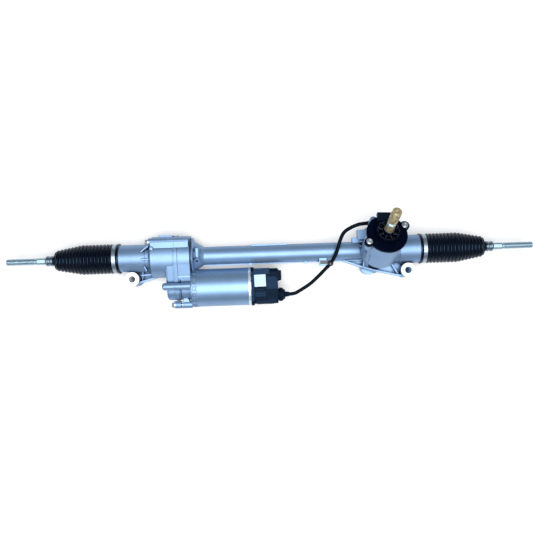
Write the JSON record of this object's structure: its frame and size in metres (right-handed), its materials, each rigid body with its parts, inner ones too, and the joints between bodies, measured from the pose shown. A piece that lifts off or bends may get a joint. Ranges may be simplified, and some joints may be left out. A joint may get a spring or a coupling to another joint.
{
  "type": "electric power steering rack",
  "caption": "Electric power steering rack: belt-driven ball nut beside the rack, pinion tower with input shaft, rubber boots and tie rods with outer threads.",
  "frame": {"origin": "midway between the two mounting bolts, on the face that the mounts sit on", "axes": "+X along the rack towards the pinion end, +Y from the mounting bolts towards the rack axis, +Z along the mounting bolts, up from the mounting face"},
  "size_m": [1.156, 0.1921, 0.2266],
  "materials": {
    "cast_aluminium": "die-cast, fine grain, satin",
    "steel_sleeve": "turned steel",
    "zinc_steel": "zinc-plated",
    "can_aluminium": "drawn, satin",
    "copper": "enamelled copper windings",
    "bearing_steel": "ground steel",
    "black_plastic": "moulded, glass-filled, fine texture",
    "gold_terminal": "plated pins",
    "board_green": "solder mask",
    "cable_sheath": "smooth jacket",
    "black_steel": "dark coated strip",
    "boot_rubber": "moulded rubber, satin",
    "band_steel": "bright strip",
    "bush_plastic": "bearing plastic",
    "bump_rubber": "firm rubber",
    "machined_steel": "ground, oiled",
    "seat_plastic": "natural acetal",
    "tie_rod_steel": "bright zinc-plated",
    "shaft_steel": "yellow-passivated steel"
  },
  "bodies": {
    "housing": {"main_housing": "cast_aluminium", "nut_housing": "cast_aluminium", "left_mount_sleeve": "steel_sleeve", "right_mount_sleeve": "steel_sleeve", "case_bolts": "zinc_steel", "motor_bolts": "zinc_steel", "motor_flange": "cast_aluminium", "motor_can": "can_aluminium", "motor_end_ring": "can_aluminium", "stator": "copper", "motor_bearings": "bearing_steel", "ecu_case": "black_plastic", "ecu_connector": "black_plastic", "ecu_terminals": "gold_terminal", "circuit_board": "board_green", "motor_plug": "black_plastic", "plug_relief": "black_plastic", "sensor_cable": "cable_sheath", "sensor_plug": "black_plastic", "cable_clip": "black_steel", "sensor_cap": "black_plastic", "sensor_connector": "black_plastic", "cap_screws": "zinc_steel", "left_boot": "boot_rubber", "right_boot": "boot_rubber", "left_boot_band": "band_steel", "right_boot_band": "band_steel", "rack_bush": "bush_plastic", "left_stop_ring": "bump_rubber", "right_stop_ring": "bump_rubber", "nut_bearing_outer": "bearing_steel", "drive_belt": "bump_rubber", "sensor_coil": "copper", "shaft_seal": "bump_rubber", "pinion_lower_bearing": "bearing_steel", "pinion_upper_bearing": "bearing_steel", "pinion_end_plug": "zinc_steel", "yoke": "bush_plastic", "yoke_spring": "machined_steel", "yoke_plug": "zinc_steel"},
    "rack": {"rack_bar": "machined_steel", "left_socket": "machined_steel", "right_socket": "machined_steel"},
    "left_ball_seat": {"left_ball_seat": "seat_plastic"},
    "right_ball_seat": {"right_ball_seat": "seat_plastic"},
    "left_tie_rod": {"left_tie_rod": "tie_rod_steel", "left_boot_clip": "band_steel"},
    "right_tie_rod": {"right_tie_rod": "tie_rod_steel", "right_boot_clip": "band_steel"},
    "pinion": {"pinion": "machined_steel", "torsion_bar": "machined_steel"},
    "input_shaft": {"input_shaft": "shaft_steel", "magnet_ring": "machined_steel"},
    "ball_nut": {"ball_nut": "machined_steel", "nut_pulley": "machined_steel", "nut_bearing_inner": "bearing_steel", "nut_bearing_balls": "bearing_steel"},
    "rotor": {"rotor_core": "machined_steel", "motor_shaft": "machined_steel", "motor_pulley": "machined_steel"}
  },
  "joints": [
    {"name": "rotor_spin", "type": "hinge", "parent": "housing", "child": "rotor", "pos_m": [0, -0.024, 0.046], "axis": [1, 0, 0], "range_deg": [-9627.44, 9627.44]},
    {"name": "ball_nut_spin", "type": "hinge", "parent": "housing", "child": "ball_nut", "pos_m": [0, 0.046, 0.046], "axis": [1, 0, 0], "range_deg": [-3702.87, 3702.87]},
    {"name": "rack_travel", "type": "slide", "parent": "housing", "child": "rack", "axis": [1, 0, 0], "range_m": [-0.072, 0.072], "deforming": ["left_boot", "right_boot"]},
    {"name": "pinion_spin", "type": "hinge", "parent": "housing", "child": "pinion", "pos_m": [0.234, 0.03076, 0.05376], "axis": [0.0872, 0.4523, 0.8876], "range_deg": [-513.71, 513.71]},
    {"name": "torsion_twist", "type": "hinge", "parent": "pinion", "child": "input_shaft", "pos_m": [0.23923, 0.0579, 0.10702], "axis": [0.0872, 0.4523, 0.8876], "range_deg": [-4.5, 4.5], "stiffness_Nm_per_rad": 126},
    {"name": "left_tie_rod_vertical", "type": "hinge", "parent": "rack", "child": "left_ball_seat", "pos_m": [-0.377, 0.046, 0.046], "axis": [0, 1, 0], "range_deg": [-20, 20], "deforming": ["left_boot"]},
    {"name": "left_tie_rod_fore_aft", "type": "hinge", "parent": "left_ball_seat", "child": "left_tie_rod", "pos_m": [-0.377, 0.046, 0.046], "axis": [0, 0, 1], "range_deg": [-10, 10], "deforming": ["left_boot"]},
    {"name": "right_tie_rod_vertical", "type": "hinge", "parent": "rack", "child": "right_ball_seat", "pos_m": [0.377, 0.046, 0.046], "axis": [0, 1, 0], "range_deg": [-20, 20], "deforming": ["right_boot"]},
    {"name": "right_tie_rod_fore_aft", "type": "hinge", "parent": "right_ball_seat", "child": "right_tie_rod", "pos_m": [0.377, 0.046, 0.046], "axis": [0, 0, 1], "range_deg": [-10, 10], "deforming": ["right_boot"]}
  ],
  "couplings": [
    {"joint": "rotor_spin", "follows": "rack_travel", "rad_per_m": -2333.8},
    {"joint": "ball_nut_spin", "follows": "rack_travel", "rad_per_m": -897.6},
    {"joint": "pinion_spin", "follows": "rack_travel", "rad_per_m": -124.52}
  ]
}
